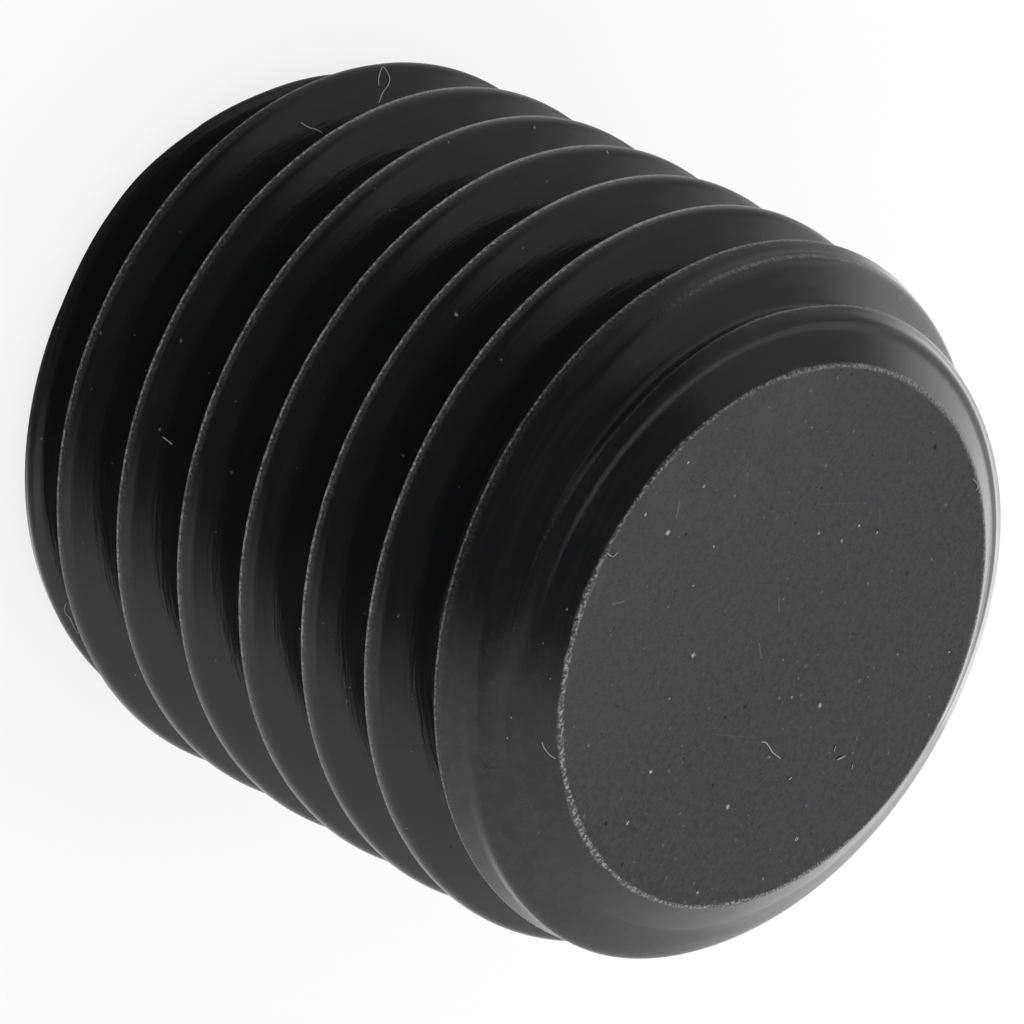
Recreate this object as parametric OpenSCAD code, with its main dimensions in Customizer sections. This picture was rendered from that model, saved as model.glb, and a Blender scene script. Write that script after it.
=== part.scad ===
// Flat-point grub screw: a headless threaded pin with a hex socket in one end.
// It stands on the socket end with the flat point up, and Z is the screw's own axis.

/* [Thread] */
// Outside diameter over the thread crests
thread_d = 16; // [14:0.5:24]
// Distance from one crest to the next, along the axis
thread_pitch = 2; // [1.5:0.25:2.5]
// Length from the socket end to the flat point
screw_length = 16; // [14:1:40]
// Turning angle at which the ridge would reach the flat point
thread_start_angle = 241; // [0:1:359]

/* [Flat point] */
// Diameter of the flat that presses on the shaft
point_d = 12; // [8:0.25:12]
// Height of the cone between the flat and the blank's full width
point_cone_h = 1; // [0.5:0.1:2]
// Height over which the ridge then grows to its full height
point_run_in = 1.7; // [0.5:0.1:3]
// Distance under the flat at which the last groove starts to get shallower
groove_rise_gap = 1.2; // [0.5:0.1:2]
// Height over which that groove's bottom would then rise to the crests
groove_rise_h = 2.8; // [2:0.2:4]

/* [Socket end] */
// Width of the hex socket across its flats
socket_af = 8; // [5:0.5:8]
// Depth of the socket's flat sides from the end of the screw
socket_depth = 7; // [4:0.5:8]
// Full angle of the drilled point left under the socket
drill_angle = 120; // [100:5:140]
// How far the mouth bevel reaches past the socket's corners
mouth_margin = 0.25; // [0.1:0.05:0.5]
// Height of the bevel round the end's outer edge
end_bevel_h = 0.3; // [0.2:0.05:0.8]
// Height over which the ridge then grows to its full height
end_run_in = 1.6; // [0.5:0.1:3]

/* [Fineness] */
// Most flat steps in one turn of the thread; a long screw gets fewer
finest_steps = 56; // [36:4:72]

/* [Hidden] */

// The metric thread's shape: a 60 degree ridge with a flat crest and a rounded root
ridge_angle = 60;
sharp_ridge_h = thread_pitch / 2 / tan(ridge_angle / 2);
crest_flat = thread_pitch / 8;
root_radius = sharp_ridge_h / 6;
crest_r = thread_d / 2;
root_r = crest_r - sharp_ridge_h * 17 / 24;

// The thread is rolled, so the blank is as wide as the thread's pitch line
blank_r = crest_r - sharp_ridge_h * 3 / 8;

// The turned outline passes clear of the full crests, on the same slopes as the run-ins
crest_gap = 0.2;
clear_r = crest_r + crest_gap;
run_in_share = (clear_r - blank_r) / (crest_r - blank_r);
point_base_z = screw_length - point_cone_h;

// The socket: corner circle, mouth bevel and drilled point
socket_corner_r = socket_af / 2 / cos(30);
mouth_r = socket_corner_r + mouth_margin;
mouth_bevel_h = mouth_r - socket_af / 2;
drill_margin = 0.1;
drill_r = socket_af / 2 - drill_margin;
drill_h = drill_r / tan(drill_angle / 2);

// Roundness of the turned surfaces, and how far a cut starts outside what it cuts
turned_fn = 96;
cut_over = 1;

// The threaded bar overruns both ends by this much, and the turned outline trims it
bar_over = thread_pitch * 3 / 2;
turns = ceil((screw_length + 2 * bar_over) / thread_pitch);
most_steps = 700;
turn_steps = min(finest_steps, floor(most_steps / turns));
total_steps = turns * turn_steps;

// Turning angle of the bar's first step, which brings the ridge to its start angle
rise = screw_length + bar_over - thread_pitch / 2;
first_angle = thread_start_angle - 360 * rise / thread_pitch;

// Half of the groove's outline, from its bottom up to the crest's edge.
// Each point is [radius, height above the groove's middle].
arc_steps = 2;
arc_end_angle = 90 - ridge_angle / 2;
root_arc = [for (i = [0:arc_steps])
    let (a = arc_end_angle * i / arc_steps)
    [root_r + root_radius * (1 - cos(a)), root_radius * sin(a)]];
crest_rise = (thread_pitch - crest_flat) / 2;

// The whole ridge, groove to groove; the next turn's first point closes it
ridge_outline = concat(
    root_arc,
    [[crest_r, crest_rise]],
    [[crest_r, thread_pitch - crest_rise]],
    [for (i = [arc_steps:-1:1]) [root_arc[i][0], thread_pitch - root_arc[i][1]]]
);
outline_points = len(ridge_outline);

// Share by which a groove whose middle is at this height is filled, near the point
function groove_fill(z) =
    min(1, max(0, (z - screw_length + groove_rise_gap) / groove_rise_h));

// Where a point of the ridge's outline lies after some steps round the screw
function ridge_point(step, k) =
    let (a = first_angle + 360 * step / turn_steps)
    let (turn_z = thread_pitch * step / turn_steps - bar_over)
    let (groove_z = turn_z + (k < outline_points / 2 ? 0 : thread_pitch))
    let (full_r = ridge_outline[k][0])
    let (r = full_r + (crest_r - full_r) * groove_fill(groove_z))
    [r * cos(a), r * sin(a), turn_z + ridge_outline[k][1]];

// Number of a point in the bar; past the outline's end the turn above answers
function ridge_index(step, k) =
    k < outline_points
        ? step * outline_points + k
        : (step + turn_steps) * outline_points;

// The threaded bar, longer than the screw at both ends
module threaded_bar() {
    last_step = total_steps - turn_steps;
    bottom_centre = last_step * outline_points + outline_points + turn_steps * outline_points;
    top_centre = bottom_centre + 1;
    points = concat(
        [for (step = [0:total_steps])
            for (k = [0:outline_points - 1]) ridge_point(step, k)],
        [[0, 0, -bar_over]],
        [[0, 0, thread_pitch * turns - bar_over]]
    );
    side_faces = [for (step = [0:last_step - 1])
        for (k = [0:outline_points - 1])
            each [
                [ridge_index(step, k), ridge_index(step, k + 1), ridge_index(step + 1, k)],
                [ridge_index(step + 1, k), ridge_index(step, k + 1), ridge_index(step + 1, k + 1)]
            ]];
    bottom_faces = [for (step = [0:turn_steps - 1])
        [bottom_centre, ridge_index(step, 0), ridge_index(step + 1, 0)]];
    bottom_wall = concat(
        [bottom_centre],
        [for (k = [outline_points:-1:0]) ridge_index(0, k)]
    );
    top_faces = [for (step = [last_step:total_steps - 1])
        [top_centre, ridge_index(step + 1, 0), ridge_index(step, 0)]];
    top_wall = concat(
        [for (k = [0:outline_points]) ridge_index(last_step, k)],
        [top_centre]
    );
    polyhedron(points, concat(side_faces, bottom_faces, [bottom_wall], top_faces, [top_wall]));
}

// What the two ends are turned to: the flat point's cone and the socket end's bevel
module turned_outline() {
    rotate_extrude($fn = turned_fn)
        polygon([
            [0, 0],
            [blank_r - end_bevel_h, 0],
            [blank_r, end_bevel_h],
            [clear_r, end_bevel_h + end_run_in * run_in_share],
            [clear_r, point_base_z - point_run_in * run_in_share],
            [blank_r, point_base_z],
            [point_d / 2, screw_length],
            [0, screw_length]
        ]);
}

// The pressed hex socket, its bevelled mouth and the drilled point under it
module hex_socket() {
    translate([0, 0, -cut_over])
        cylinder(r = socket_corner_r, h = socket_depth + cut_over, $fn = 6);
    translate([0, 0, socket_depth - cut_over])
        cylinder(r = drill_r, h = cut_over, $fn = turned_fn);
    translate([0, 0, socket_depth])
        cylinder(r1 = drill_r, r2 = 0, h = drill_h, $fn = turned_fn);
    translate([0, 0, -cut_over])
        cylinder(
            r1 = mouth_r + cut_over,
            r2 = mouth_r - mouth_bevel_h - cut_over,
            h = mouth_bevel_h + 2 * cut_over,
            $fn = turned_fn
        );
}

module set_screw() {
    color("dimgray")
        difference() {
            intersection() {
                threaded_bar();
                turned_outline();
            }
            hex_socket();
        }
}

set_screw();
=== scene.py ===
import math

import bpy
import numpy as np
from mathutils import Matrix, Vector


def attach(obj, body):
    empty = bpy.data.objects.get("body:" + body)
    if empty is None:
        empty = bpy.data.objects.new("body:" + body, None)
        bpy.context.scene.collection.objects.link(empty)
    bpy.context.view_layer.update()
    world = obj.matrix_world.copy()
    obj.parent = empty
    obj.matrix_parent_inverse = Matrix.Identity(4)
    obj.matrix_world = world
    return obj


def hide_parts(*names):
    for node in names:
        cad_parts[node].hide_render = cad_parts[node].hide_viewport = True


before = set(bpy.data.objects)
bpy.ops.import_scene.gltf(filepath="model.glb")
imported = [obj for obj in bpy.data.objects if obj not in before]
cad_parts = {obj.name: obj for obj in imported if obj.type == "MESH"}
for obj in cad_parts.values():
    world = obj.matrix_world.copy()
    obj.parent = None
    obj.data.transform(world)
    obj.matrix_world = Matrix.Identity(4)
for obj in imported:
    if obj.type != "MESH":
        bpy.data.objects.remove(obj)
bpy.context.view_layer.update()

# ---------------------------------------------------------------------------------------------
# Sizes of the screw in millimetres, as in the CAD source. Half of a crest's flat is a little
# wider here, and the flat point's radius a little smaller, since their edges are softened.
# ---------------------------------------------------------------------------------------------
MM = 0.001
MICROMETRE = 0.000001
THREAD_R = 8.0
PITCH = 2.0
LENGTH = 16.0
START = math.radians(241.0)
SHARP_H = PITCH / 2 / math.tan(math.radians(30))
FLANK_SLOPE = math.sqrt(3)
CREST_W = PITCH / 16 * 1.15
ROOT_RAD = SHARP_H / 6
BLANK_R = THREAD_R - SHARP_H * 3 / 8
POINT_R = 5.98
CONE_H = 1.0
RUN_IN = 1.7
END_BEVEL = 0.3
END_RUN = 1.6
AF = 8.0
SOCKET_D = 7.0
MOUTH_MARGIN = 0.25
MOUTH_R = AF / 2 / math.cos(math.radians(30)) + MOUTH_MARGIN
DRILL_R = 3.9
DRILL_H = DRILL_R / math.tan(math.radians(60))

# The last groove gets shallower towards the point, as in the CAD source
RISE_FROM = LENGTH - 1.2
RISE_H = 2.8

# Softness of the joins in the turned outline, and how far it clears the crests
TOP_JOIN = 0.12
END_JOIN = 0.1
CLEARANCE = 0.3

# ---------------------------------------------------------------------------------------------
# What rolling leaves at the two ends. A window is four values: something comes between the
# first two and goes between the last two. A name in HEIGHT is over the height itself, and one
# in CREST is over the height that the ridge's crest has at the same angle.
# ---------------------------------------------------------------------------------------------
# The stump is the last turn of the ridge, which runs out on the cone
STUMP_TOP = LENGTH + 0.35

# A lip where the stump meets the cone
LIP_UP = 0.115
LIP_Z = 15.53
LIP_CREST = (15.05, 15.35, 16.12, 16.33)
LIP_HEIGHT = (15.1, LIP_Z, LIP_Z - 0.04, LIP_Z + 0.04)

# A low stretch of the stump
STUMP_LOW = 0.14
LOW_CREST = (15.25, 15.55, 15.75, 15.98)
LOW_HEIGHT = (14.45, 14.75, 15.15, 15.50)

# A swell where the crest runs into the cone's corner, strongest where it starts
POINT_SWELL = 0.125
SWELL_CREST = (14.30, 14.66, 15.36, 15.58)
SWELL_EXTRA = 0.75
SWELL_EXTRA_END = (14.66, 14.88)
SWELL_Z = 15.02
SWELL_REACH = 0.5

# A swell and a thin place where the crest runs out of the socket end's corner
SOCKET_SWELL = 0.19
SOCKET_THIN = 0.06
SPREAD_CREST = (-0.10, 0.05, 0.10, 0.30)
THIN_CREST = (-0.55, -0.35, -0.13, -0.06)
END_HEIGHT = (0.03, 0.30, 0.30, 0.80)
FOOT_FROM = -0.6

# How softly thread and outline join down in a groove, and where the grooves are shallow
JOIN_DEEP = (0.45, 0.75)
JOIN_LEAST = 0.02
JOIN_MORE = 0.08
JOIN_SHALLOW = 0.16
SHALLOW_GROOVE = (14.45, 15.2)

# ---------------------------------------------------------------------------------------------
# Grid of the dressed mesh
# ---------------------------------------------------------------------------------------------
COLS = 360
BACK_RAD = 0.065
STUMP_BACK_RAD = 0.22
STUMP_BACK_CREST = (15.0, 15.3)
FRONT_RAD = 0.30
LAST_FRONT_RAD = 0.35
LAST_FRONT_CREST = (12.6, 13.6)
BACK_STEPS = 3
FRONT_STEPS = 6

# A rounding takes at most these shares of the land and of the side below it
BACK_SHARE = 0.2
FRONT_SHARE = 0.72
OUTER_SHARE = 0.4
CORNER_PROBE = 0.04

# Rows down a side, across a land and, on the stump, at fixed heights
SIDE_STEPS = np.array([0.12, 0.35, 0.62, 0.742, 0.80, 0.86, 0.93])
LAND_STEPS = np.array([0.25, 0.5, 0.75])
LEVELS = np.array([14.6, 14.74, 14.86, 14.94, 15.0, 15.05, 15.12, 15.25, 15.35,
                   15.44, 15.49, 15.51, 15.525, 15.54, 15.555, 15.58, 15.63, 15.8])
LEVELS_FROM = 14.2
LEVELS_TO = LENGTH + 0.36
EDGE_STEPS = 61
EDGE_HALVINGS = 30
TINY = 1e-12
TINY_STEP = 1e-9
TINY_AREA = 1e-15
WELD_STEP = 2e-5

# The grid stops short of both ends, where rings go on
GRID_TOP = LENGTH - 0.035
GRID_LOW = 0.03
ROUND_STEPS = (0.25, 0.5, 0.75, 1.0)
ROUND_IN = 0.05
FACE_RINGS = (5.6, 4.6, 3.2, 1.8, 0.6)
END_RING = 6.0
MOUTH_ROUND = 0.03
MOUTH_DROP = MOUTH_ROUND * 0.7
MOUTH_STEPS = (0.0, 0.5, 1.0)
SOCKET_RINGS = (2.0, SOCKET_D)
DRILL_SHARES = (0.5, 0.9)

# The two edge marks fade out over these crest heights, and NO_EDGE means that there is no edge
BACK_MARK_END = (16.02, 16.22)
FRONT_MARK_END = (14.02, 14.22)
MARK_FADE = 0.12
NO_EDGE = 9.0
MARK_NAMES = ("from_back", "to_front", "offset")


# ---------------------------------------------------------------------------------------------
# Screw body: a grid that follows the helix, with the rolled run-outs and softened crest edges
# ---------------------------------------------------------------------------------------------
def smooth_min(a, b, w):
    h = np.clip(0.5 + 0.5 * (b - a) / w, 0, 1)
    return b * (1 - h) + a * h - w * h * (1 - h)


def ease(x, x0, x1):
    t = np.clip((x - x0) / (x1 - x0), 0, 1)
    return t * t * (3 - 2 * t)


def bezier(p0, p1, p2, s):
    return (1 - s) ** 2 * p0 + 2 * s * (1 - s) * p1 + s * s * p2


def window(x, ends):
    """Rises softly from 0 to 1 between the first two ends and falls between the last two."""
    return ease(x, ends[0], ends[1]) * (1 - ease(x, ends[2], ends[3]))


def cap(z):
    """Radius of the turned outline at a height: bevel, run-outs and the cone at the point."""
    d = LENGTH - z
    cone = POINT_R + (BLANK_R - POINT_R) / CONE_H * d
    run = BLANK_R + (THREAD_R - BLANK_R) / RUN_IN * (d - CONE_H)
    bevel = BLANK_R - END_BEVEL + z
    low = BLANK_R + (THREAD_R - BLANK_R) / END_RUN * (z - END_BEVEL)
    ends = np.minimum(smooth_min(cone, run, TOP_JOIN), smooth_min(bevel, low, END_JOIN))
    return np.minimum(ends, THREAD_R + CLEARANCE)


def rolled_cap(zc, z):
    """The turned outline with what rolling leaves at both ends; zc is the crest's height."""
    stump = STUMP_TOP - np.mod(STUMP_TOP - zc, PITCH)
    lip = window(stump, LIP_CREST) * window(z, LIP_HEIGHT)
    low = window(stump, LOW_CREST) * window(z, LOW_HEIGHT)
    swell = window(stump, SWELL_CREST)
    swell = swell * (1 + SWELL_EXTRA * (1 - ease(stump, *SWELL_EXTRA_END)))
    swell = swell * (1 - ease(np.abs(z - SWELL_Z), 0, SWELL_REACH))
    foot = np.mod(zc - FOOT_FROM, PITCH) + FOOT_FROM
    at_foot = SOCKET_SWELL * window(foot, SPREAD_CREST) - SOCKET_THIN * window(foot, THIN_CREST)
    at_foot = at_foot * window(z, END_HEIGHT)
    return cap(z) + LIP_UP * lip - STUMP_LOW * low + POINT_SWELL * swell + at_foot


def thread(zc, v):
    """Radius of the full thread at an offset along the axis from the middle of a crest."""
    u = np.abs(v)
    flank = THREAD_R - (u - CREST_W) * FLANK_SLOPE
    a = PITCH / 2 - u
    a0 = ROOT_RAD * math.cos(math.radians(30))
    r0 = THREAD_R - (PITCH / 2 - a0 - CREST_W) * FLANK_SLOPE
    arc = r0 + ROOT_RAD * 0.5 - np.sqrt(np.clip(ROOT_RAD**2 - a**2, 0, None))
    full = np.where(u < CREST_W, THREAD_R, np.where(a < a0, arc, flank))
    middle = zc + np.sign(v) * PITCH / 2
    return full + (THREAD_R - full) * np.clip((middle - RISE_FROM) / RISE_H, 0, 1)


def surface(zc, v):
    """Radius of thread and turned outline together, softly joined down in the groove."""
    t, c = thread(zc, v), rolled_cap(zc, zc + v)
    deep = np.clip((np.abs(v) - JOIN_DEEP[0]) / (JOIN_DEEP[1] - JOIN_DEEP[0]), 0, 1)
    shallow = ease(zc + np.sign(v) * PITCH / 2, *SHALLOW_GROOVE)
    width = JOIN_LEAST + (JOIN_MORE + JOIN_SHALLOW * shallow) * deep
    return np.where(deep > 0, smooth_min(t, c, width), np.minimum(t, c))


def land_edge(zc, sgn):
    """Offset from the crest where the thread drops under the turned outline, and if it does."""
    grid = np.linspace(CREST_W + TINY_STEP, PITCH / 2, EDGE_STEPS)[None, :]

    def above(u, zz):
        return thread(zz, sgn * u) - rolled_cap(zz, zz + sgn * u) > 0

    over = above(grid, zc[:, None])
    first = np.argmin(over, axis=1)
    gone = over.all(axis=1)
    lo = grid[0][np.clip(first - 1, 0, None)]
    hi = grid[0][first]
    for _ in range(EDGE_HALVINGS):
        m = (lo + hi) / 2
        pos = above(m, zc)
        lo = np.where(pos, m, lo)
        hi = np.where(pos, hi, m)
    u = np.where(over[:, 0], (lo + hi) / 2, CREST_W)
    return np.where(gone, PITCH / 2, u), gone


def section(zc):
    """Rows (r, z, from the back edge, to the front edge, offset from the crest) for one ridge."""
    ub, back_gone = land_edge(zc, -1)
    uf, front_gone = land_edge(zc, 1)

    def point(v):
        return np.stack([surface(zc, v), zc + v], -1)

    def rounded(u, sgn, radius, room_in):
        """A corner and the offsets at which its rounding starts and ends."""
        corner = point(sgn * u)
        d1 = point(sgn * (u - CORNER_PROBE)) - corner
        d2 = point(sgn * np.minimum(u + CORNER_PROBE, PITCH / 2)) - corner
        l1 = np.linalg.norm(d1, axis=-1, keepdims=True) + TINY
        l2 = np.linalg.norm(d2, axis=-1, keepdims=True) + TINY
        turn = np.arccos(np.clip(-(d1 * d2).sum(-1, keepdims=True) / (l1 * l2), -1, 1))
        t = radius * np.tan(turn / 2)[..., 0]
        t_in = np.minimum(t, room_in)
        t_out = np.minimum(t, (PITCH / 2 - u) * OUTER_SHARE)
        inner = u - t_in * np.abs(d1[..., 1]) / l1[..., 0]
        outer = u + t_out * np.abs(d2[..., 1]) / l2[..., 0]
        whole = u >= PITCH / 2
        return corner, np.where(whole, u, inner), np.where(whole, u, outer)

    width = ub + uf
    back_rad = BACK_RAD + (STUMP_BACK_RAD - BACK_RAD) * ease(zc, *STUMP_BACK_CREST)
    front_rad = FRONT_RAD + (LAST_FRONT_RAD - FRONT_RAD) * ease(zc, *LAST_FRONT_CREST)
    back_corner, back_in, back_out = rounded(ub, -1, back_rad, width * BACK_SHARE)
    front_corner, front_in, front_out = rounded(uf, 1, front_rad, width * FRONT_SHARE)

    def arc(v_in, corner, v_out, steps):
        a, b = point(v_in), point(v_out)
        return [bezier(a, corner, b, j / steps) for j in range(steps + 1)]

    rows = [point(np.full_like(zc, -PITCH / 2))]
    rows += [point(-back_out - (PITCH / 2 - back_out) * g) for g in SIDE_STEPS[::-1]]
    rows += arc(-back_in, back_corner, -back_out, BACK_STEPS)[::-1]
    # across the land: even steps, or fixed levels where the stump's forms have to come out clean
    even = [-back_in + (back_in + front_in) * g for g in LAND_STEPS]
    even += [front_in] * (len(LEVELS) - len(LAND_STEPS))
    fixed = [np.clip(level - zc, -back_in, front_in) for level in LEVELS]
    use_levels = (zc > LEVELS_FROM) & (zc < LEVELS_TO)
    rows += [point(np.where(use_levels, f, e)) for e, f in zip(even, fixed)]
    rows += arc(front_in, front_corner, front_out, FRONT_STEPS)
    rows += [point(front_out + (PITCH / 2 - front_out) * g) for g in SIDE_STEPS]
    pts = np.stack(rows, 1)
    v = pts[..., 1] - zc[:, None]
    ub = np.where(back_gone, NO_EDGE, ub + MARK_FADE * ease(zc, *BACK_MARK_END))
    uf = np.where(front_gone, NO_EDGE, uf + MARK_FADE * ease(zc, *FRONT_MARK_END))
    marks = np.stack([v + ub[:, None], uf[:, None] - v, v], -1)
    return np.concatenate([pts, marks], -1)


class Lathe:
    """Collects the rings, quads and marks of the screw, in millimetres."""

    def __init__(self, phi):
        self.phi = phi
        self.verts, self.marks, self.faces, self.count = [], [], [], 0

    def add(self, verts, marks):
        start = self.count
        self.verts.append(verts)
        self.marks.append(marks)
        self.count += len(verts)
        return start

    def ring(self, r, z):
        r = np.broadcast_to(r, (COLS,))
        z = np.broadcast_to(z, (COLS,))
        none = np.full(COLS, NO_EDGE)
        start = self.add(np.stack([r * np.cos(self.phi), r * np.sin(self.phi), z], -1),
                         np.stack([none, none, r], -1))
        return start + np.arange(COLS)

    def join(self, a, b, flat=False):
        quads = np.stack([a, np.roll(a, -1), np.roll(b, -1), b], -1)
        self.faces.append((quads, np.full(COLS, flat)))

    def grow(self, prev, rings, inward=False, flat=False):
        """Adds rings one after another and joins each to the one before it."""
        for r, z in rings:
            new = self.ring(r, z)
            if inward:
                self.join(new, prev, flat)
            else:
                self.join(prev, new, flat)
            prev = new
        return prev

    def close(self, ring, z, inward=False, flat=False):
        """Closes a ring with a fan round a point on the axis."""
        mid = np.full(COLS, self.add(np.array([[0, 0, z]]), np.full((1, 3), NO_EDGE)))
        ahead = np.roll(ring, -1)
        first, second = (ahead, ring) if inward else (ring, ahead)
        self.faces.append((np.stack([first, second, mid, mid], -1), np.full(COLS, flat)))


def add_thread(lathe):
    """The helix grid from end to end; returns its lowest and its highest ring."""
    phi = lathe.phi
    base = LENGTH + PITCH * (phi - START) / (2 * np.pi)
    highest = int(math.ceil(START / (2 * math.pi) + 1.5))
    lowest = -int(math.ceil(LENGTH / PITCH + 2.5))
    ridges = [section(base + PITCH * j) for j in range(lowest, highest + 1)]
    turn = ridges[0].shape[1]
    rows = np.concatenate(ridges, 1)
    # what lies past an end is laid on the end's edge, where weld() merges it
    z = np.clip(rows[..., 1], GRID_LOW, GRID_TOP)
    r = np.where(rows[..., 1] != z, cap(z), rows[..., 0])
    k_all = rows.shape[1]
    verts = np.stack([r * np.cos(phi)[:, None], r * np.sin(phi)[:, None], z], -1)
    lathe.add(verts.reshape(-1, 3), rows[..., 2:].reshape(-1, 3))
    # the last column joins the first one a ridge higher
    i = np.arange(COLS)[:, None]
    k = np.arange(k_all - 1)[None, :]
    ni = (i + 1) % COLS
    shift = np.where(i == COLS - 1, turn, 0)
    ok = (k + 1 + shift) < k_all
    quads = np.stack([i * k_all + k, ni * k_all + k + shift,
                      ni * k_all + k + 1 + shift, i * k_all + k + 1], -1)[ok]
    lathe.faces.append((quads, np.zeros(len(quads), bool)))
    low = np.arange(COLS) * k_all
    return low, low + k_all - 1


def add_point(lathe, prev):
    """Flat point: a small rounded edge, then rings to the middle."""
    p0 = np.array([cap(np.array(GRID_TOP)), GRID_TOP])
    p1 = np.array([POINT_R, LENGTH])
    p2 = np.array([POINT_R - ROUND_IN, LENGTH])
    rings = [bezier(p0, p1, p2, s) for s in ROUND_STEPS] + [(r, LENGTH) for r in FACE_RINGS]
    lathe.close(lathe.grow(prev, rings), LENGTH)


def add_socket(lathe, prev):
    """Socket end: outer edge, ring face, mouth bevel, hex walls and drill cone."""
    outer = BLANK_R - END_BEVEL
    p0 = np.array([cap(np.array(GRID_LOW)), GRID_LOW])
    p1 = np.array([outer, 0.0])
    p2 = np.array([outer - ROUND_IN, 0.0])
    end = [bezier(p0, p1, p2, s) for s in ROUND_STEPS] + [(END_RING, 0.0)]
    p0 = np.array([MOUTH_R + MOUTH_ROUND, 0.0])
    p1 = np.array([MOUTH_R, 0.0])
    p2 = np.array([MOUTH_R - MOUTH_DROP, MOUTH_DROP])
    end += [bezier(p0, p1, p2, s) for s in MOUTH_STEPS]
    hex_r = AF / 2 / np.cos((lathe.phi % math.radians(60)) - math.radians(30))
    z_mouth = MOUTH_R - hex_r
    end.append((hex_r, z_mouth))
    walls = [(hex_r, np.maximum(z, z_mouth)) for z in SOCKET_RINGS]
    walls.append((DRILL_R, SOCKET_D))
    walls += [(DRILL_R * (1 - s), SOCKET_D + DRILL_H * s) for s in DRILL_SHARES]
    prev = lathe.grow(prev, end, inward=True)
    prev = lathe.grow(prev, walls, inward=True, flat=True)
    lathe.close(prev, SOCKET_D + DRILL_H, inward=True, flat=True)


def screw_grid():
    """All vertices, quads, flat-shading flags and marks of the screw, in millimetres."""
    lathe = Lathe(np.arange(COLS) * 2 * np.pi / COLS)
    low, high = add_thread(lathe)
    add_point(lathe, high)
    add_socket(lathe, low)
    quads = np.concatenate([f[0] for f in lathe.faces])
    flat = np.concatenate([f[1] for f in lathe.faces])
    return np.concatenate(lathe.verts), quads, flat, np.concatenate(lathe.marks)


def weld(verts, quads, flat, marks):
    """Merges points that fall together and drops the faces that this empties."""
    key = np.round(verts / WELD_STEP).astype(np.int64)
    _, first, inv = np.unique(key, axis=0, return_index=True, return_inverse=True)
    inv = inv.reshape(-1)
    verts, marks, quads = verts[first], marks[first], inv[quads]
    same = np.stack([quads[:, n] == quads[:, (n + 1) % 4] for n in range(4)], 1).any(1)
    faces, flags = [], []
    for q, f, e in zip(quads.tolist(), flat.tolist(), same.tolist()):
        if e:
            q = list(dict.fromkeys(q))
            if len(q) < 3:
                continue
        elif q[0] == q[2] or q[1] == q[3]:
            continue
        faces.append(tuple(q))
        flags.append(f)
    used = np.unique(np.concatenate([np.array(f) for f in faces]))
    new = np.full(len(verts), -1)
    new[used] = np.arange(len(used))
    faces = [tuple(int(new[v]) for v in f) for f in faces]
    return verts[used], faces, np.array(flags), marks[used]


def corner_normals(verts, faces, flat):
    """Normals per face corner: smooth faces share theirs, flat ones keep sharp borders."""

    def cross(tri):
        a, b, c = verts[tri[:, 0]], verts[tri[:, 1]], verts[tri[:, 2]]
        return np.cross(b - a, c - a)

    first = np.array([(f[0], f[1], f[2]) for f in faces])
    owner = np.array([n for n, f in enumerate(faces) if len(f) == 4])
    second = np.array([(f[0], f[2], f[3]) for f in faces if len(f) == 4])
    face_n, second_n = cross(first), cross(second)
    vert_n = np.zeros((len(verts), 3))
    for c in range(3):
        np.add.at(vert_n, first[:, c], face_n * (~flat)[:, None])
        np.add.at(vert_n, second[:, c], second_n * (~flat[owner])[:, None])
    np.add.at(face_n, owner, second_n)
    vert_n /= np.linalg.norm(vert_n, axis=1, keepdims=True) + TINY_AREA
    face_n /= np.linalg.norm(face_n, axis=1, keepdims=True) + TINY_AREA
    loops = []
    for n, f in enumerate(faces):
        loops.extend([tuple(face_n[n])] * len(f) if flat[n] else [tuple(vert_n[v]) for v in f])
    return loops


def make_screw():
    verts, faces, flat, marks = weld(*screw_grid())
    me = bpy.data.meshes.new("screw_body")
    me.from_pydata((verts * MM).tolist(), [], faces)
    me.polygons.foreach_set("use_smooth", (~flat).tolist())
    me.normals_split_custom_set(corner_normals(verts, faces, flat))
    for n, name in enumerate(MARK_NAMES):
        layer = me.attributes.new(name, "FLOAT", "POINT")
        layer.data.foreach_set("value", marks[:, n].astype(np.float32))
    me.update()
    ob = bpy.data.objects.new("screw_body", me)
    bpy.context.scene.collection.objects.link(ob)
    return ob


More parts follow.
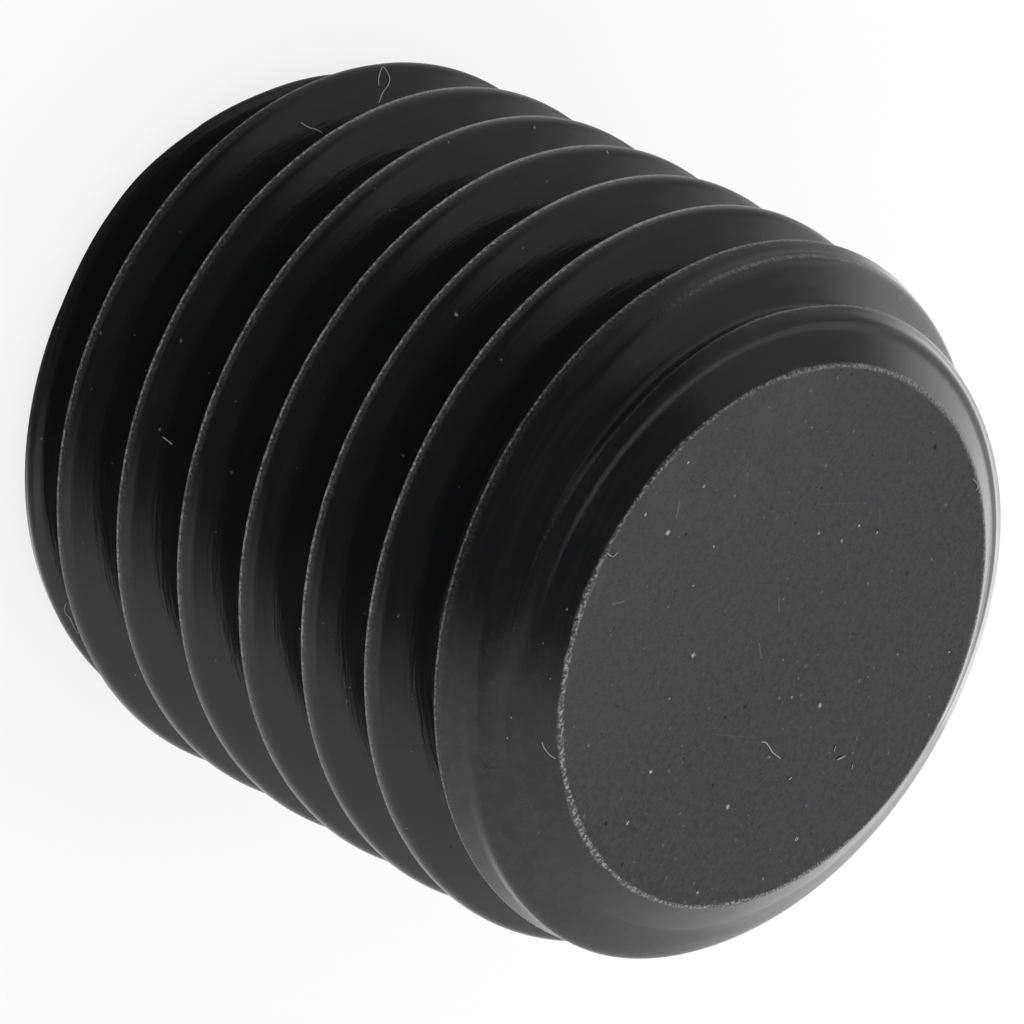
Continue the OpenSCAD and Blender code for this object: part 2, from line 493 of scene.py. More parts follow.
# ---------------------------------------------------------------------------------------------
# Node helpers
# ---------------------------------------------------------------------------------------------
class Nodes:
    """Small helper to write node trees as expressions."""

    def __init__(self, tree):
        self.tree = tree
        tree.nodes.clear()

    def add(self, kind, _out=0, _in=None, **props):
        node = self.tree.nodes.new(kind)
        for name, value in props.items():
            setattr(node, name, value)
        for key, value in (_in or {}).items():
            self.put(value, node.inputs[key])
        return node if _out is None else node.outputs[_out]

    def put(self, value, socket):
        if isinstance(value, bpy.types.NodeSocket):
            self.tree.links.new(value, socket)
        else:
            socket.default_value = value

    def math(self, op, a, b=0.0, c=0.0, clamp=False):
        return self.add("ShaderNodeMath", operation=op, use_clamp=clamp, _in={0: a, 1: b, 2: c})

    def vector(self, op, *values, out=0, **named):
        ins = {**dict(enumerate(values)), **named}
        return self.add("ShaderNodeVectorMath", _out=out, operation=op, _in=ins)

    def product(self, first, *others):
        for other in others:
            first = self.math("MULTIPLY", first, other)
        return first

    def total(self, first, *others):
        for other in others:
            first = self.math("ADD", first, other)
        return first

    def most(self, first, *others):
        for other in others:
            first = self.math("MAXIMUM", first, other)
        return first

    def less(self, a, b):
        return self.math("SUBTRACT", a, b)

    def rest(self, a):
        return self.math("SUBTRACT", 1.0, a)

    def ramp(self, x, x0, x1, y0=0.0, y1=1.0, smooth=True):
        return self.add(
            "ShaderNodeMapRange",
            interpolation_type="SMOOTHSTEP" if smooth else "LINEAR",
            _in={"Value": x, "From Min": x0, "From Max": x1, "To Min": y0, "To Max": y1},
        )

    def band(self, value, middle, inner, outer):
        """1 within inner of the middle, 0 from outer on."""
        off = self.math("ABSOLUTE", self.less(value, middle))
        return self.ramp(off, inner, outer, 1.0, 0.0)

    def lean(self, x, y, ax, ay):
        """How far a place lies along a level direction."""
        return self.math("MULTIPLY_ADD", x, ax, self.math("MULTIPLY", y, ay))

    def noise(self, vec, scale, detail, rough):
        ins = {"Vector": vec, "Scale": scale, "Detail": detail, "Roughness": rough}
        return self.add("ShaderNodeTexNoise", noise_dimensions="3D", _in=ins)

    def mix(self, fac, a, b):
        """Colour mix; a and b are colour tuples or sockets."""
        return self.add("ShaderNodeMix", _out=2, data_type="RGBA", _in={0: fac, 6: a, 7: b})

    def split(self, vec):
        return self.add("ShaderNodeSeparateXYZ", _out=None, _in={0: vec}).outputs

    def join(self, x, y, z):
        return self.add("ShaderNodeCombineXYZ", _in={0: x, 1: y, 2: z})

    def bump(self, height, distance):
        return self.add("ShaderNodeBump",
                        _in={"Strength": 1.0, "Distance": distance, "Height": height})

    def finish(self, kind, shader):
        self.add(kind, _out=None, _in={0: shader})


def colour(r, g, b):
    return (r, g, b, 1.0)


def grey(v):
    return colour(v, v, v)


def new_material(name):
    mat = bpy.data.materials.new(name)
    mat.use_nodes = True
    return mat, Nodes(mat.node_tree)


# ---------------------------------------------------------------------------------------------
# Black oxide steel. Lengths are in millimetres and relief is in micrometres.
# ---------------------------------------------------------------------------------------------
# Where things are: the flat, the foot of a groove, the side at -X with the most wear, the rim
FACE_EDGE_Z = (LENGTH - 0.03, LENGTH - 0.01)
FACE_EDGE_R = (5.97, 5.93)
ROOT_EDGE = (0.22, 0.42)
SIDE_X = (-4.0, -7.0)
RIM_Z = (LENGTH - 0.12, LENGTH - 0.05)

# Noises: scale, detail and roughness, and the shares that make the soft one of the flat
CLOUD = (0.8, 2.0, 0.6)
MOTTLE = (3.2, 2.0, 0.65)
BLOTCH = (6.5, 1.0, 0.6)
FINE = (14.0, 2.0, 0.6)
GRAIN = (38.0, 0.0, 0.5)
FINE_SHARE, GRAIN_SHARE, BLOTCH_SHARE = 0.35, 0.3, 0.35

# Values of a noise between which a look goes from one end to the other
MOST_OF_IT = (0.3, 0.7)
SOFT_RANGE = (0.34, 0.66)
MOTTLE_RANGE = (0.38, 0.66)
SPECKLE_RANGE = (0.36, 0.60)
WORN_RANGE = (0.46, 0.66)
RIM_RANGE = (0.38, 0.58)
STREAK_RANGE = (0.40, 0.72)
DUSTY_RANGE = (0.30, 0.75)
CONE_REFLECTION_RANGE = (0.32, 0.64)

# Streaks along the thread: scale round the screw and along it, and drift for each mm of height
STREAK = (4.0, 9.0)
FINE_STREAK = (7.0, 24.0)
STREAK_DRIFT = 1.3

# Heights of the ridge's crest between which a look changes
LAST_CREST = (13.1, 13.6)
CONE_CREST = (13.6, 14.4)
DUSTY_CREST = (13.0, 14.2)
STUMP_CREST = (14.9, 15.25)
STUMP_LINE_CREST = (14.7, 15.0)
FRONT_CREST = (12.6, 13.1)

# The worn lines: distance of the middle from the edge, half width that is whole, and half width
# at which it is gone. A LEVEL is how worn a line is, between its speckles and in them.
BACK_LINE = (0.015, 0.03)
BACK_WIDTH = (0.095, 0.15)
BACK_WIDTH_X = (-3.0, -6.5)
BACK_LEVEL = (0.45, 1.0)
BACK_HAZE = (0.06, 0.03, 0.19)
BACK_HAZE_LEVEL = (0.05, 0.13)
BACK_RELIEF = (0.015, 0.03, 0.085)
FRONT_LINE = (0.02, 0.02, 0.06)
FRONT_LEVEL = (0.12, 0.26)
# an even band along the rounded front edge, which is painted sheen
FRONT_SHEEN = (0.06, 0.05, 0.24)
FRONT_SHEEN_LEVEL = 0.085
RIM_R = 5.965
RIM_WHOLE = 0.012
RIM_WIDTH = (0.05, 0.11)
RIM_LEVEL = (0.3, 1.0)
RIM_RELIEF = (0.02, 0.08)

# On the last land the crest line is fainter and narrower. On the stump it comes back, and then
# goes, less so at the side at -X.
LAST_FAINT = 0.42
LAST_NARROW = 0.65
STUMP_STRONG = 1.6
STUMP_LOSS = (0.93, 0.45)

# Level directions, how far along them a look changes, and from what to what. The rim is worn
# towards its own side, the cone has a painted reflection towards its own side, and the flat is
# paler away from its own.
RIM_SIDE = (0.163, -0.036)
RIM_SIDE_RAMP = (-0.3, 0.95, 0.45, 1.0)
FACE_PALE_SIDE = (0.073, 0.15)
FACE_PALE_RAMP = (0.25, -1.0, 0.0, 0.50)
CONE_REFLECTION_SIDE = (0.342, 0.940)
CONE_REFLECTION_RAMP = (4.3, 7.0)
DUSTY_X = (1.5, 5.0)

# How much of a colour comes in
STREAK_SHARE = 0.5
MOTTLE_SHARE = 0.5
DUSTY_SHARE = 0.5
FACE_PALE_SHARE = (0.4, 1.0)
CONE_REFLECTION_SHARE = (0.15, 0.65)

# Gloss: roughness by place, and what a groove, a pit and worn or dusty metal add
STEEL_IOR = 1.5
BASE_ROUGH = (0.125, 0.165)
STREAK_ROUGH = (-0.015, 0.02)
FACE_ROUGH = (0.32, 0.09)
ROOT_ROUGH = 0.05
PIT_ROUGH = 0.5
WORN_ROUGH = 0.35

# Colours
STEEL_TINT = colour(0.972, 0.965, 1.0)
BLACK_LOW, BLACK_HIGH = colour(0.0050, 0.0053, 0.0060), colour(0.0076, 0.0078, 0.0083)
STREAK_TONE = colour(0.0110, 0.0108, 0.0108)
FACE_LOW, FACE_HIGH = grey(0.0), colour(0.0145, 0.0145, 0.016)
MOTTLE_TONE = colour(0.011, 0.011, 0.0135)
FACE_PALE_TONE = colour(0.045, 0.044, 0.045)
CONE_DUST_TONE = colour(0.036, 0.036, 0.038)
# painted reflection on the cone towards +Y
PAINTED_CONE_REFLECTION = colour(0.17, 0.168, 0.168)
WORN_LOW, WORN_SIDES = colour(0.130, 0.128, 0.127), colour(0.28, 0.276, 0.273)
WORN_HIGH = colour(0.34, 0.335, 0.33)
PIT_TONE = grey(0.002)
DUST_TONE = colour(0.40, 0.385, 0.37)

# Scratches on the flat: both ends, half width and tone. Each is whole and gone at these factors
# of its half width.
STROKE_EDGE = (0.3, 1.3)
STROKE_LEVEL = 0.8
PALE = colour(0.085, 0.085, 0.09)
FAINT = colour(0.032, 0.032, 0.034)
RUST = colour(0.050, 0.024, 0.018)
SCRATCHES = [
    ((-3.41, -1.02, -2.40, -1.46), 0.018, FAINT),
    ((-2.82, -0.85, -3.39, 0.69), 0.014, FAINT),
    ((-2.25, -1.43, -1.55, -1.57), 0.016, FAINT),
    ((-3.37, 1.04, -3.03, 1.33), 0.030, RUST),
    ((0.98, 3.73, 1.89, 4.05), 0.014, FAINT),
    ((2.36, -0.46, 2.01, 0.94), 0.012, FAINT),
    ((-0.77, -0.54, -0.53, -0.35), 0.018, PALE),
    ((0.25, -0.45, 0.51, -0.15), 0.016, PALE),
    ((0.90, -5.08, 0.74, -4.80), 0.022, PALE),
    ((-1.57, -4.66, -1.26, -4.54), 0.020, PALE),
]

# Specks, a coarse and a fine set: cells per mm, share with dust, share with a pit, size, seed.
# Off the flat they are fewer, smaller and fainter by these factors.
SPECKS = [(1.6, 0.66, 0.30, 0.10, 3.0), (3.4, 0.62, 0.36, 0.13, 11.0)]
SPECK_BEND = 0.09
SPECK_LEAST = 0.3
SPECK_EDGE = (0.4, 1.0)
DUST_LEVEL = (0.15, 1.0)
FEWER = 0.34
SMALLER = 0.72
FAINTER = 0.6
PIT_LEVEL = 0.85

# Relief in micrometres on the flanks and where something else is: the flat, an edge, a groove
GRAIN_RELIEF = (0.9, 2.8)
EDGE_RELIEF = (1.6, 9.0)
EDGE_SHARE = 0.8
LINE_RELIEF = (3.4, 5.0)
CONE_LINES = 0.3


class SteelParts:
    """Where a point of the screw is, and the noises that its colour, gloss and relief share."""

    def __init__(self, n):
        obj = n.add("ShaderNodeTexCoord", _out=3)
        self.mm = mm = n.vector("SCALE", obj, Scale=1.0 / MM)
        self.x, self.y, self.z = x, y, z = n.split(mm)
        self.rad = rad = n.math("SQRT", n.total(n.product(x, x), n.product(y, y)))
        self.from_back, self.to_front, offset = [
            n.add("ShaderNodeAttribute", _out=2, attribute_name=name) for name in MARK_NAMES]
        self.crest_z = n.less(z, offset)
        from_groove = n.less(PITCH / 2, n.math("ABSOLUTE", offset))
        self.in_root = n.ramp(from_groove, *ROOT_EDGE, 1.0, 0.0)
        self.on_face = n.product(n.ramp(z, *FACE_EDGE_Z), n.ramp(rad, *FACE_EDGE_R))
        self.on_flank = n.rest(self.on_face)
        self.sides = n.ramp(x, *SIDE_X)
        # how strong the crest lines are
        self.last = n.product(n.ramp(self.crest_z, *LAST_CREST, 1.0, LAST_FAINT),
                              n.ramp(self.crest_z, *STUMP_LINE_CREST, 1.0, STUMP_STRONG))

        # streaks run round the screw along the thread and drift slowly from turn to turn
        cx = n.math("DIVIDE", x, n.math("MAXIMUM", rad, 0.01))
        cy = n.math("DIVIDE", y, n.math("MAXIMUM", rad, 0.01))
        drift = n.product(self.crest_z, STREAK_DRIFT)

        def streaks(around, along):
            up = n.math("MULTIPLY_ADD", offset, along, drift)
            return n.noise(n.join(n.product(cx, around), n.product(cy, around), up), 1.0, 1.0, 0.6)

        self.streak = streaks(*STREAK)
        self.fine_streak = streaks(*FINE_STREAK)
        self.cloud = n.noise(mm, *CLOUD)
        self.mottle = n.ramp(n.noise(mm, *MOTTLE), *MOTTLE_RANGE)
        self.fine = n.noise(mm, *FINE)
        self.grain = n.noise(mm, *GRAIN)
        soft = n.product(n.noise(mm, *BLOTCH), BLOTCH_SHARE)
        soft = n.math("MULTIPLY_ADD", self.grain, GRAIN_SHARE, soft)
        self.soft = n.math("MULTIPLY_ADD", self.fine, FINE_SHARE, soft)


def wear(n, at):
    """Worn, speckled edges: crest lines, a haze beside them, the last land's front with a painted
    sheen along it, and the rim.
    """
    speckle = n.ramp(at.fine, *SPECKLE_RANGE)
    stump = n.product(n.ramp(at.crest_z, *STUMP_CREST), n.ramp(at.sides, 0, 1, *STUMP_LOSS))
    fade = n.product(at.last, n.rest(stump))
    width = n.product(n.ramp(at.x, *BACK_WIDTH_X, *BACK_WIDTH),
                      n.ramp(at.crest_z, *LAST_CREST, 1.0, LAST_NARROW))
    back = n.product(n.band(at.from_back, *BACK_LINE, width),
                     n.ramp(speckle, 0, 1, *BACK_LEVEL), fade)
    haze = n.product(n.band(at.from_back, *BACK_HAZE),
                     n.ramp(speckle, 0, 1, *BACK_HAZE_LEVEL), fade)

    line = n.product(n.band(at.to_front, *FRONT_LINE), n.ramp(speckle, 0, 1, *FRONT_LEVEL))
    # painted sheen: an even pale band along the rounded front edge at -X
    glow = n.product(n.band(at.to_front, *FRONT_SHEEN), FRONT_SHEEN_LEVEL)
    front = n.product(n.most(line, glow), at.sides, n.ramp(at.crest_z, *FRONT_CREST))

    rim_side = n.ramp(n.lean(at.x, at.y, *RIM_SIDE), *RIM_SIDE_RAMP)
    rim_width = n.ramp(at.cloud, *MOST_OF_IT, *RIM_WIDTH)
    rim = n.product(n.band(at.rad, RIM_R, RIM_WHOLE, rim_width), n.ramp(at.z, *RIM_Z),
                    rim_side, n.ramp(at.fine, *RIM_RANGE, *RIM_LEVEL))
    return n.most(back, haze, front, rim)


def specks(n, at, scale, dusty, pitted, size, seed):
    """Small pale specks and small dark holes, picked from the same cells."""
    few = n.ramp(at.on_face, 0, 1, FEWER, 1.0)
    bend = n.join(at.grain, at.fine, at.grain)
    bent = n.vector("MULTIPLY_ADD", bend, (SPECK_BEND,) * 3, at.mm)
    shifted = n.vector("ADD", bent, (seed, seed * 1.7, -seed))
    cell = n.add("ShaderNodeTexVoronoi", _out=None, _in={"Vector": shifted, "Scale": scale})
    pick, spread, tone = n.add("ShaderNodeSeparateColor", _out=None,
                               _in={0: cell.outputs["Color"]}).outputs
    reach = n.product(n.ramp(at.on_face, 0, 1, size * SMALLER, size), n.total(SPECK_LEAST, spread))
    near = n.ramp(n.math("DIVIDE", cell.outputs["Distance"], reach), *SPECK_EDGE, 1.0, 0.0)
    dust = n.product(n.math("LESS_THAN", pick, n.product(few, dusty)),
                     near, n.ramp(tone, 0, 1, *DUST_LEVEL))
    pits = n.product(n.math("GREATER_THAN", pick, n.rest(n.product(few, pitted))), near)
    return dust, pits


def stroke(n, x, y, ends, width):
    """A thin straight mark between two points of the face, worn to nothing at its borders."""
    ax, ay, bx, by = ends
    dx, dy = bx - ax, by - ay
    px, py = n.less(x, ax), n.less(y, ay)
    along = n.total(n.product(px, dx), n.product(py, dy))
    along = n.math("DIVIDE", along, dx * dx + dy * dy, clamp=True)
    ox = n.less(px, n.product(along, dx))
    oy = n.less(py, n.product(along, dy))
    off = n.math("SQRT", n.total(n.product(ox, ox), n.product(oy, oy)))
    whole, gone = [width * factor for factor in STROKE_EDGE]
    return n.ramp(off, whole, gone, STROKE_LEVEL, 0.0)


def steel_colour(n, at, worn, dust, pits):
    """Streaked black, the mottled flat, dust, a painted reflection on the cone, worn edges,
    scratches, pits and specks.
    """
    base = n.mix(at.cloud, BLACK_LOW, BLACK_HIGH)
    streak = n.product(n.ramp(at.streak, *STREAK_RANGE), STREAK_SHARE)
    base = n.mix(streak, base, STREAK_TONE)

    face = n.mix(n.ramp(at.soft, *SOFT_RANGE), FACE_LOW, FACE_HIGH)
    face = n.mix(n.product(at.mottle, MOTTLE_SHARE), face, MOTTLE_TONE)
    # the flat turns paler and mottled towards -X and -Y
    haze = n.product(n.ramp(n.lean(at.x, at.y, *FACE_PALE_SIDE), *FACE_PALE_RAMP),
                     n.ramp(at.cloud, *MOST_OF_IT, *FACE_PALE_SHARE))
    face = n.mix(haze, face, FACE_PALE_TONE)
    base = n.mix(at.on_face, base, face)

    # dust on the cone at +X, and a painted reflection, a pale streaked patch, on the cone towards
    # +Y
    dusty = n.product(n.ramp(at.x, *DUSTY_X), n.ramp(at.crest_z, *DUSTY_CREST),
                      n.ramp(at.grain, *DUSTY_RANGE), at.mottle, at.on_flank, DUSTY_SHARE)
    base = n.mix(dusty, base, CONE_DUST_TONE)
    far = n.product(n.ramp(n.lean(at.x, at.y, *CONE_REFLECTION_SIDE), *CONE_REFLECTION_RAMP),
                    n.ramp(at.crest_z, *CONE_CREST), at.on_flank,
                    n.ramp(at.streak, *CONE_REFLECTION_RANGE, *CONE_REFLECTION_SHARE))
    base = n.mix(far, base, PAINTED_CONE_REFLECTION)

    bright = n.mix(at.sides, WORN_LOW, WORN_SIDES)
    bright = n.mix(n.ramp(at.fine, *WORN_RANGE), bright, WORN_HIGH)
    base = n.mix(worn, base, bright)
    for ends, width, tone in SCRATCHES:
        base = n.mix(n.product(stroke(n, at.x, at.y, ends, width), at.on_face), base, tone)
    return n.mix(dust, n.mix(pits, base, PIT_TONE), DUST_TONE)


def steel_gloss(n, at, worn, dust, pits):
    """Roughness; pits are dull, so they look dark."""
    rough = n.total(n.ramp(at.cloud, *MOST_OF_IT, *BASE_ROUGH),
                    n.ramp(at.streak, *MOST_OF_IT, *STREAK_ROUGH),
                    n.product(at.on_face, n.ramp(at.soft, *SOFT_RANGE, *FACE_ROUGH)),
                    n.product(at.in_root, ROOT_ROUGH),
                    n.product(pits, PIT_ROUGH))
    return n.math("ADD", rough, n.product(n.most(worn, dust), WORN_ROUGH), clamp=True)


def steel_relief(n, at):
    """Height in micrometres: grain, ragged worn edges and rolling lines on the flanks."""
    height = n.product(n.less(at.grain, 0.5), n.ramp(at.on_face, 0, 1, *GRAIN_RELIEF))
    edge = n.product(n.band(at.from_back, *BACK_RELIEF),
                     n.math("MULTIPLY", at.last, EDGE_SHARE, clamp=True))
    edge = n.most(edge, n.band(at.rad, RIM_R, *RIM_RELIEF))
    height = n.math("MULTIPLY_ADD", n.less(at.fine, 0.5), n.ramp(edge, 0, 1, *EDGE_RELIEF), height)
    lines = n.product(n.less(at.fine_streak, 0.5), n.ramp(at.in_root, 0, 1, *LINE_RELIEF),
                      n.ramp(at.crest_z, *CONE_CREST, 1.0, CONE_LINES))
    return n.math("MULTIPLY_ADD", lines, at.on_flank, height)


def black_oxide():
    mat, n = new_material("black_oxide_steel")
    at = SteelParts(n)
    worn = wear(n, at)
    (dust_a, pits_a), (dust_b, pits_b) = [specks(n, at, *row) for row in SPECKS]
    dust = n.product(n.most(dust_a, dust_b), n.ramp(at.on_face, 0, 1, FAINTER, 1.0))
    pits = n.product(n.most(pits_a, pits_b), PIT_LEVEL)
    bsdf = n.add("ShaderNodeBsdfPrincipled", _in={
        "Base Color": steel_colour(n, at, worn, dust, pits),
        "Roughness": steel_gloss(n, at, worn, dust, pits),
        "Normal": n.bump(steel_relief(n, at), MICROMETRE),
        "Metallic": 0.0,
        "IOR": STEEL_IOR,
        "Specular Tint": STEEL_TINT,
    })
    n.finish("ShaderNodeOutputMaterial", bsdf)
    return mat


screw = make_screw()
screw.data.materials.append(black_oxide())
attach(screw, "root")
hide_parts("set_screw")


# ---------------------------------------------------------------------------------------------
# Lint: short fibres and crumbs that lie on the screw, each a thin bent rod
# ---------------------------------------------------------------------------------------------
ROD_SIDES = 6
ROD_STEPS = 5
ROD_TAPER = 0.45
ROD_ASIDE = Vector((0.3, 0.2, 1.0))
LINT_LOW, LINT_HIGH = colour(0.16, 0.155, 0.15), colour(0.46, 0.45, 0.43)
LINT_NOISE = (9000.0, 2.0, 0.6)
LINT_ROUGH = (0.55, 0.8)

# radius of each and the points that it passes through
LINT = {
    "hair_loop": (0.014, [(-6.65, -3.73, 2.20), (-6.82, -3.75, 2.10), (-7.06, -3.64, 1.96),
                          (-6.96, -3.49, 2.09), (-6.81, -3.47, 2.18), (-6.57, -3.60, 2.27),
                          (-6.32, -3.68, 2.38)]),
    "fibre_upper": (0.012, [(-5.16, -5.49, 2.34), (-5.15, -5.29, 2.43), (-5.18, -5.13, 2.48),
                            (-5.18, -4.95, 2.54)]),
    "curl_face": (0.014, [(2.06, 1.03, 16.01), (2.03, 1.19, 16.01), (2.09, 1.37, 16.01),
                          (2.15, 1.53, 16.01), (2.19, 1.85, 16.01)]),
    "bit_face_a": (0.018, [(1.69, 3.49, 16.02), (1.54, 3.67, 16.02)]),
    "bit_face_b": (0.009, [(1.44, 3.26, 16.01), (1.57, 3.29, 16.01)]),
    "bit_face_c": (0.016, [(2.51, 2.39, 16.01), (2.44, 2.45, 16.01)]),
    "bit_face_d": (0.009, [(1.62, 4.02, 16.01), (1.74, 4.08, 16.01)]),
    "bit_face_e": (0.010, [(0.02, -5.96, 16.01), (0.03, -5.74, 16.01), (-0.10, -5.67, 16.01)]),
    "loop_left": (0.013, [(6.22, -3.87, 1.03), (6.38, -3.78, 0.98), (6.46, -3.66, 0.98),
                          (6.49, -3.55, 1.00), (6.55, -3.45, 1.01), (6.64, -3.29, 1.01),
                          (6.74, -3.08, 1.02)]),
    "hair_cone": (0.011, [(4.03, -4.84, 15.78), (4.11, -4.74, 15.80), (4.19, -4.57, 15.85),
                          (4.22, -4.40, 15.93)]),
    "hair_flank": (0.012, [(2.08, -7.27, 4.66), (2.11, -7.12, 4.74), (2.13, -7.03, 4.79)]),
    "bit_edge": (0.010, [(-4.84, 3.28, 16.01), (-4.78, 3.52, 16.01), (-4.65, 3.55, 16.01)]),
}


def curve_points(points):
    """Smooth curve through the given points, with a few steps between each two."""
    p = np.array([points[0]] + list(points) + [points[-1]], float)
    t = np.arange(ROD_STEPS)[:, None] / ROD_STEPS
    parts = []
    for a, b, c, d in zip(p[:-3], p[1:-2], p[2:-1], p[3:]):
        parts.append(0.5 * (2 * b + (c - a) * t + (2 * a - 5 * b + 4 * c - d) * t**2
                            + (3 * b - a - 3 * c + d) * t**3))
    return np.concatenate(parts + [p[-1:]])


def lint_material():
    mat, n = new_material("pale_lint")
    tone = n.noise(n.add("ShaderNodeTexCoord", _out=3), *LINT_NOISE)
    bsdf = n.add("ShaderNodeBsdfPrincipled", _in={
        "Base Color": n.mix(tone, LINT_LOW, LINT_HIGH),
        "Roughness": n.ramp(tone, *MOST_OF_IT, *LINT_ROUGH),
        "Normal": n.bump(tone, 2 * MICROMETRE),
    })
    n.finish("ShaderNodeOutputMaterial", bsdf)
    return mat


def rod(radius, points, start):
    """Vertices and faces of one closed rod, whose vertices are numbered from start."""
    path = curve_points(points)
    last = len(path) - 1
    verts, faces = [], []
    for i, p in enumerate(path):
        ahead = Vector(path[min(i + 1, last)] - path[max(i - 1, 0)]).normalized()
        side = ahead.cross(ROD_ASIDE).normalized()
        other = ahead.cross(side)
        taper = ROD_TAPER if i in (0, last) else 1.0
        for j in range(ROD_SIDES):
            a = 2 * math.pi * j / ROD_SIDES
            q = Vector(p) + (side * math.cos(a) + other * math.sin(a)) * radius * taper
            verts.append(q * MM)
    for i in range(last):
        for j in range(ROD_SIDES):
            a = start + i * ROD_SIDES + j
            b = start + i * ROD_SIDES + (j + 1) % ROD_SIDES
            faces.append((a, b, b + ROD_SIDES, a + ROD_SIDES))
    end = start + last * ROD_SIDES
    faces.append(tuple(start + j for j in reversed(range(ROD_SIDES))))
    faces.append(tuple(end + j for j in range(ROD_SIDES)))
    return verts, faces


def make_lint():
    verts, faces = [], []
    for radius, points in LINT.values():
        new_verts, new_faces = rod(radius, points, len(verts))
        verts += new_verts
        faces += new_faces
    me = bpy.data.meshes.new("lint")
    me.from_pydata(verts, [], faces)
    me.polygons.foreach_set("use_smooth", [len(f) == 4 for f in faces])
    ob = bpy.data.objects.new("lint", me)
    bpy.context.scene.collection.objects.link(ob)
    me.materials.append(lint_material())
    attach(ob, "root")


make_lint()


# ---------------------------------------------------------------------------------------------
# Floor and world: a white tent, open and dark on the photographer's side. What shines sees the
# opening, the camera and the plain colours see even white. Directions are an azimuth, 0 towards
# the camera and growing to +X, and an elevation, in degrees.
# ---------------------------------------------------------------------------------------------
DARK = 0.05
SIDE_LEVEL = 0.47
RIGHT_AZ = (19.0, 66.0)
LEFT_EL = (-8.0, 26.0)
LEFT_START = (12.0, 52.0)
LEFT_END = 96.0
FAR_LEFT_AZ = (124.0, 148.0)
FAR_LEFT_EL = (14.0, 36.0)
FAR_LEFT_LOW = 2.0
TOP_HOLE = (0, 75)
TOP_HOLE_R = (14.0, 46.0)

FLOOR_ALBEDO = 0.22
FLOOR_LIFT = 0.785
FLOOR_R = 0.046
FLOOR_DROP = 0.00002
FLOOR_RINGS = 12
FLOOR_COLS = 96
FLOOR_SEEN_Z = -0.1


def direction(az, el):
    a, e = math.radians(az), math.radians(el)
    return Vector((math.sin(a) * math.cos(e), -math.cos(a) * math.cos(e), math.sin(e)))


def degrees(n, radians):
    return n.product(radians, 180 / math.pi)


def tent_level(n, x, y, z):
    """How bright the tent is in a direction: dark in front, half lit at -X, white elsewhere."""
    flat = n.math("SQRT", n.total(n.product(x, x), n.product(y, y)))
    az = degrees(n, n.math("ARCTAN2", x, n.product(y, -1.0)))
    el = degrees(n, n.math("ARCTAN2", z, flat))
    right = n.ramp(az, *RIGHT_AZ)
    left_az = n.product(az, -1.0)
    left_start = n.ramp(el, *LEFT_EL, *LEFT_START, smooth=False)
    left = n.ramp(left_az, left_start, LEFT_END, 0.0, SIDE_LEVEL)
    low = n.ramp(n.math("ABSOLUTE", el), *FAR_LEFT_EL, FAR_LEFT_LOW, 1.0)
    far_left = n.product(n.ramp(left_az, *FAR_LEFT_AZ, 0.0, 1.0 - SIDE_LEVEL), low)
    over = n.vector("DOT_PRODUCT", n.join(x, y, z), direction(*TOP_HOLE), out=1)
    over = degrees(n, n.math("ARCCOSINE", over))
    level = n.product(n.total(left, far_left, right), n.ramp(over, *TOP_HOLE_R))
    return n.most(level, DARK)


def floor_material():
    mat, n = new_material("pale_floor")
    mat.cycles.emission_sampling = "NONE"
    path = n.add("ShaderNodeLightPath", _out=None).outputs
    x, y, _ = n.split(n.vector("NORMALIZE", n.add("ShaderNodeTexCoord", _out=3)))
    level = tent_level(n, x, y, FLOOR_SEEN_Z)
    shiny = n.product(path["Is Glossy Ray"], n.less(level, DARK))
    seen = n.most(path["Is Camera Ray"], n.most(shiny, path["Is Transmission Ray"]))
    diffuse = n.add("ShaderNodeBsdfDiffuse", _in={"Color": grey(FLOOR_ALBEDO)})
    glow = n.add("ShaderNodeEmission",
                 _in={"Color": grey(1.0), "Strength": n.product(seen, FLOOR_LIFT)})
    n.finish("ShaderNodeOutputMaterial", n.add("ShaderNodeAddShader", _in={0: diffuse, 1: glow}))
    return mat


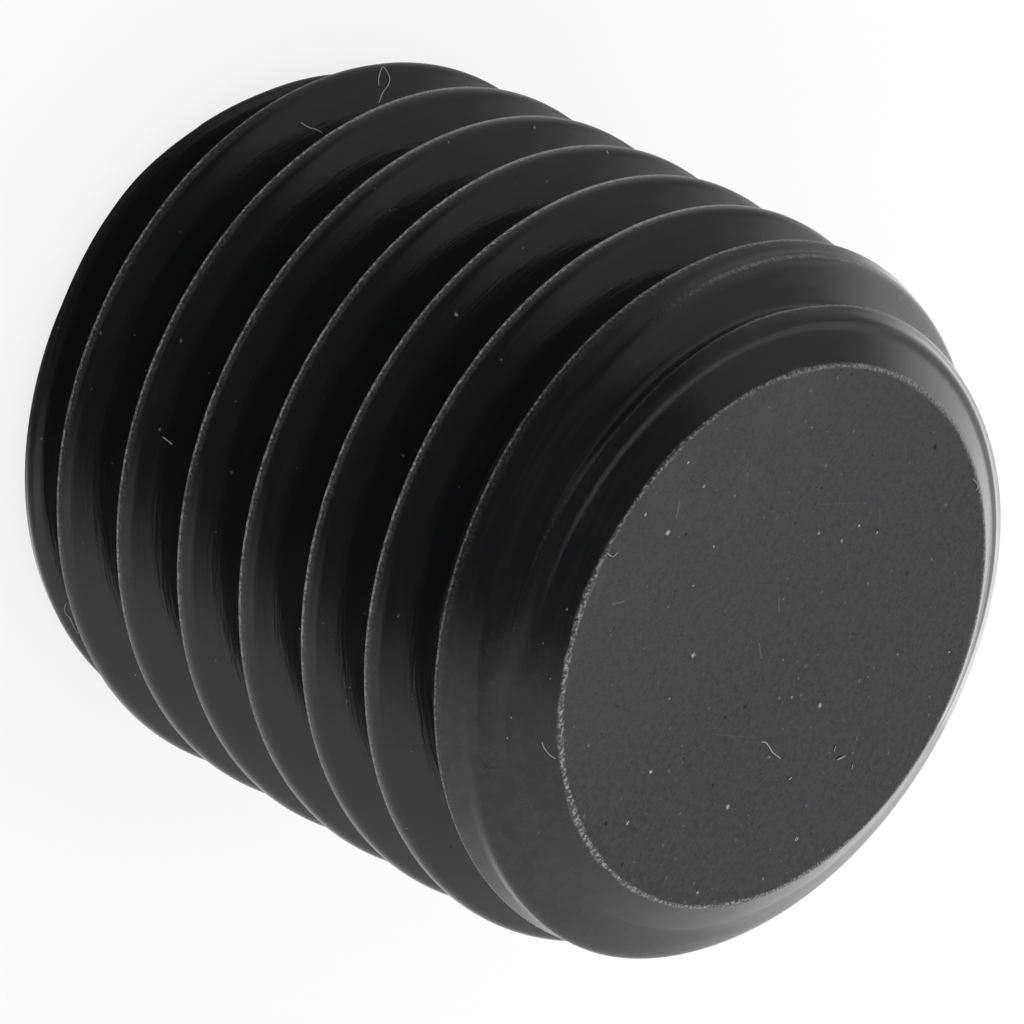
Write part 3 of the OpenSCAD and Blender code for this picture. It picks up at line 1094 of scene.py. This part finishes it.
def make_floor():
    verts, faces = [(0.0, 0.0, 0.0)], []
    for i in range(1, FLOOR_RINGS + 1):
        r = FLOOR_R * i / FLOOR_RINGS
        for j in range(FLOOR_COLS):
            a = 2 * math.pi * j / FLOOR_COLS
            verts.append((r * math.cos(a), r * math.sin(a), 0.0))
    for j in range(FLOOR_COLS):
        faces.append((0, 1 + j, 1 + (j + 1) % FLOOR_COLS))
    for i in range(FLOOR_RINGS - 1):
        for j in range(FLOOR_COLS):
            a = 1 + i * FLOOR_COLS + j
            b = 1 + i * FLOOR_COLS + (j + 1) % FLOOR_COLS
            faces.append((a, a + FLOOR_COLS, b + FLOOR_COLS, b))
    me = bpy.data.meshes.new("floor")
    me.from_pydata(verts, [], faces)
    ob = bpy.data.objects.new("floor", me)
    bpy.context.scene.collection.objects.link(ob)
    ob.location.z = -FLOOR_DROP
    me.materials.append(floor_material())


def make_world():
    world = bpy.data.worlds.new("soft_tent")
    world.cycles.sampling_method = "NONE"
    bpy.context.scene.world = world
    world.use_nodes = True
    n = Nodes(world.node_tree)
    path = n.add("ShaderNodeLightPath", _out=None).outputs
    tent = tent_level(n, *n.split(n.add("ShaderNodeTexCoord", _out=0)))
    even = n.most(path["Is Camera Ray"],
                  n.most(path["Is Transmission Ray"], path["Is Diffuse Ray"]))
    strength = n.total(n.product(tent, n.rest(even)), even)
    light = n.add("ShaderNodeBackground", _in={"Color": grey(1.0), "Strength": strength})
    n.finish("ShaderNodeOutputWorld", light)


make_floor()
make_world()


# ---------------------------------------------------------------------------------------------
# Camera: looks down at 42 degrees and is rolled, so the standing screw leans as in the photo
# ---------------------------------------------------------------------------------------------
CAMERA_RIGHT = Vector((-0.45436941, 0.59766915, 0.66056038))
CAMERA_DOWN = Vector((0.89081296, 0.30414541, 0.33756162))
CAMERA_AHEAD = Vector((0.00084376, 0.74181342, -0.67060580))
CAMERA_PLACE = Vector((0.0, -143.4671592, 137.5180096))
CAMERA_FOCUS_PX = 9095.9
PHOTO_WIDTH_PX = 1024
SENSOR = 36.0
CLIP = (0.01, 10.0)


def make_camera():
    cam = bpy.data.cameras.new("camera")
    ob = bpy.data.objects.new("camera", cam)
    bpy.context.scene.collection.objects.link(ob)
    place = CAMERA_PLACE * MM
    m = Matrix.Identity(4)
    for row in range(3):
        m[row][0] = CAMERA_RIGHT[row]
        m[row][1] = -CAMERA_DOWN[row]
        m[row][2] = -CAMERA_AHEAD[row]
        m[row][3] = place[row]
    ob.matrix_world = m
    cam.sensor_width = SENSOR
    cam.lens = CAMERA_FOCUS_PX / PHOTO_WIDTH_PX * SENSOR
    cam.clip_start, cam.clip_end = CLIP
    bpy.context.scene.camera = ob


make_camera()
bpy.context.scene.view_settings.view_transform = "Standard"
